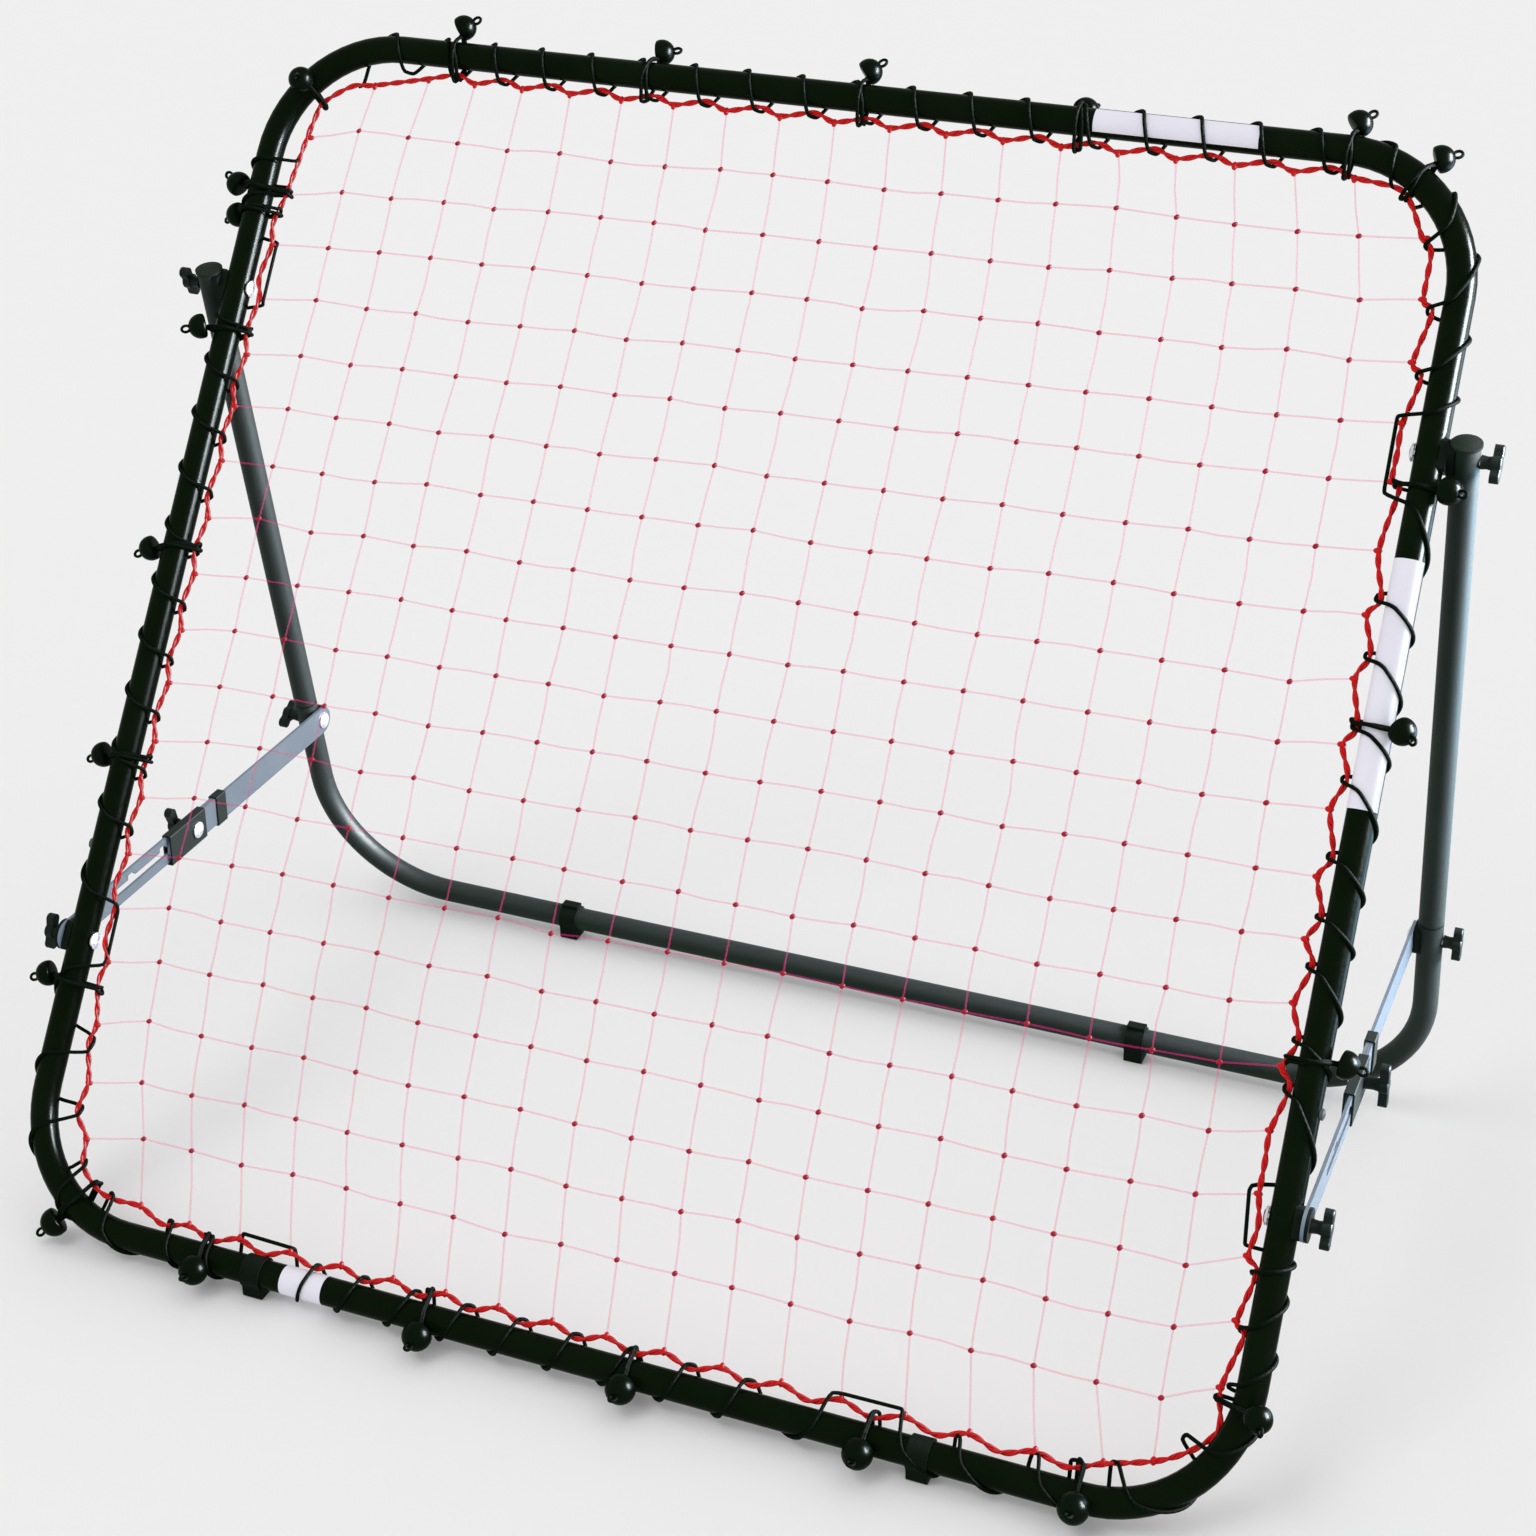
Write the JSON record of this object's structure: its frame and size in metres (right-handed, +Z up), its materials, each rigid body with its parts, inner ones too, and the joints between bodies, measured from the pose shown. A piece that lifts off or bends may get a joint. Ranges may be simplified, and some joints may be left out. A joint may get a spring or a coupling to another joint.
{
  "type": "pitch back rebounder",
  "caption": "Leaning square tube frame with a laced red net, splayed rear support frame, slotted folding side struts and wing knobs.",
  "frame": {"origin": "on the floor, under the middle of the whole object's box", "axes": "+X to the right seen from the player, +Y from the player towards the rear support, +Z up"},
  "size_m": [1.079, 0.6178, 0.848],
  "materials": {
    "frame_black": "gloss black powder coat on steel tube",
    "rear_black": "gloss black powder coat on steel tube",
    "strut_black": "satin slate grey coat on flat steel bar",
    "bolt_steel": "bright zinc plated bolt",
    "cap_plastic": "moulded black plug",
    "saddle_plastic": "moulded black saddle washer",
    "guide_plastic": "moulded black sleeve",
    "knob_plastic": "moulded black wing knob",
    "foot_rubber": "moulded black rubber foot",
    "net_red": "knotted red net cord",
    "cord_black": "braided black elastic cord",
    "ball_plastic": "moulded black ball",
    "label_white": "blank white label"
  },
  "bodies": {
    "front_frame": {"front_frame_upper_tube": "frame_black", "front_frame_lower_tube": "frame_black", "splice_buttons": "bolt_steel", "front_feet": "foot_rubber", "front_saddles": "saddle_plastic", "hinge_bolts": "bolt_steel", "front_strut_bolts": "bolt_steel", "strut_washers": "saddle_plastic", "rebound_net": "net_red", "lacing_right": "cord_black", "lacing_bottom": "cord_black", "lacing_left": "cord_black", "lacing_top": "cord_black", "tie_cords": "cord_black", "tie_balls": "ball_plastic", "top_label": "label_white", "side_label": "label_white", "band_label": "label_white"},
    "rear_frame": {"rear_leg_right": "rear_black", "rear_leg_left": "rear_black", "rear_base_tube": "rear_black", "rear_splice_rings": "saddle_plastic", "rear_tube_caps": "cap_plastic", "rear_feet": "foot_rubber", "rear_saddles": "saddle_plastic", "rear_strut_bolts": "bolt_steel"},
    "strut_front_right": {"strut_front_bar_right": "strut_black", "strut_upper_guide_right": "guide_plastic"},
    "strut_rear_right": {"strut_rear_bar_right": "strut_black", "strut_lower_guide_right": "guide_plastic", "strut_bolt_right": "bolt_steel"},
    "hinge_knob_right": {"hinge_knob_right": "knob_plastic"},
    "front_strut_knob_right": {"front_strut_knob_right": "knob_plastic"},
    "rear_strut_knob_right": {"rear_strut_knob_right": "knob_plastic"},
    "strut_lock_knob_right": {"strut_lock_knob_right": "knob_plastic"},
    "strut_front_left": {"strut_front_bar_left": "strut_black", "strut_upper_guide_left": "guide_plastic"},
    "strut_rear_left": {"strut_rear_bar_left": "strut_black", "strut_lower_guide_left": "guide_plastic", "strut_bolt_left": "bolt_steel"},
    "hinge_knob_left": {"hinge_knob_left": "knob_plastic"},
    "front_strut_knob_left": {"front_strut_knob_left": "knob_plastic"},
    "rear_strut_knob_left": {"rear_strut_knob_left": "knob_plastic"},
    "strut_lock_knob_left": {"strut_lock_knob_left": "knob_plastic"}
  },
  "joints": [
    {"name": "rear_fold", "type": "hinge", "parent": "front_frame", "child": "rear_frame", "pos_m": [0, 0.15335, 0.65], "axis": [1, 0, 0], "range_deg": [-12, 0]},
    {"name": "strut_swing_right", "type": "hinge", "parent": "front_frame", "child": "strut_front_right", "pos_m": [0.5, -0.15221, 0.19869], "axis": [1, 0, 0], "range_deg": [-2.1, 0]},
    {"name": "strut_slide_right", "type": "slide", "parent": "strut_front_right", "child": "strut_rear_right", "axis": [0, 1, 0.0013], "range_m": [-0.096, 0]},
    {"name": "hinge_knob_turn_right", "type": "hinge", "parent": "front_frame", "child": "hinge_knob_right", "pos_m": [0.5, 0.15335, 0.65], "axis": [1, 0, 0], "continuous": true},
    {"name": "front_strut_knob_turn_right", "type": "hinge", "parent": "front_frame", "child": "front_strut_knob_right", "pos_m": [0.5, -0.15221, 0.19869], "axis": [1, 0, 0], "continuous": true},
    {"name": "rear_strut_knob_turn_right", "type": "hinge", "parent": "rear_frame", "child": "rear_strut_knob_right", "pos_m": [0.5, 0.2489, 0.1992], "axis": [1, 0, 0], "continuous": true},
    {"name": "strut_lock_knob_turn_right", "type": "hinge", "parent": "strut_rear_right", "child": "strut_lock_knob_right", "pos_m": [0.5, 0.03219, 0.19892], "axis": [1, 0, 0], "continuous": true},
    {"name": "strut_swing_left", "type": "hinge", "parent": "front_frame", "child": "strut_front_left", "pos_m": [-0.5, -0.15221, 0.19869], "axis": [1, 0, 0], "range_deg": [-2.1, 0]},
    {"name": "strut_slide_left", "type": "slide", "parent": "strut_front_left", "child": "strut_rear_left", "axis": [0, 1, 0.0013], "range_m": [-0.096, 0]},
    {"name": "hinge_knob_turn_left", "type": "hinge", "parent": "front_frame", "child": "hinge_knob_left", "pos_m": [-0.5, 0.15335, 0.65], "axis": [1, 0, 0], "continuous": true},
    {"name": "front_strut_knob_turn_left", "type": "hinge", "parent": "front_frame", "child": "front_strut_knob_left", "pos_m": [-0.5, -0.15221, 0.19869], "axis": [1, 0, 0], "continuous": true},
    {"name": "rear_strut_knob_turn_left", "type": "hinge", "parent": "rear_frame", "child": "rear_strut_knob_left", "pos_m": [-0.5, 0.2489, 0.1992], "axis": [1, 0, 0], "continuous": true},
    {"name": "strut_lock_knob_turn_left", "type": "hinge", "parent": "strut_rear_left", "child": "strut_lock_knob_left", "pos_m": [-0.5, 0.03219, 0.19892], "axis": [1, 0, 0], "continuous": true}
  ],
  "couplings": [
    {"joint": "strut_swing_right", "follows": "rear_fold", "ratio": 0.1724},
    {"joint": "strut_slide_right", "follows": "rear_fold", "m_per_rad": 0.4562},
    {"joint": "strut_swing_left", "follows": "rear_fold", "ratio": 0.1724},
    {"joint": "strut_slide_left", "follows": "rear_fold", "m_per_rad": 0.4562}
  ]
}
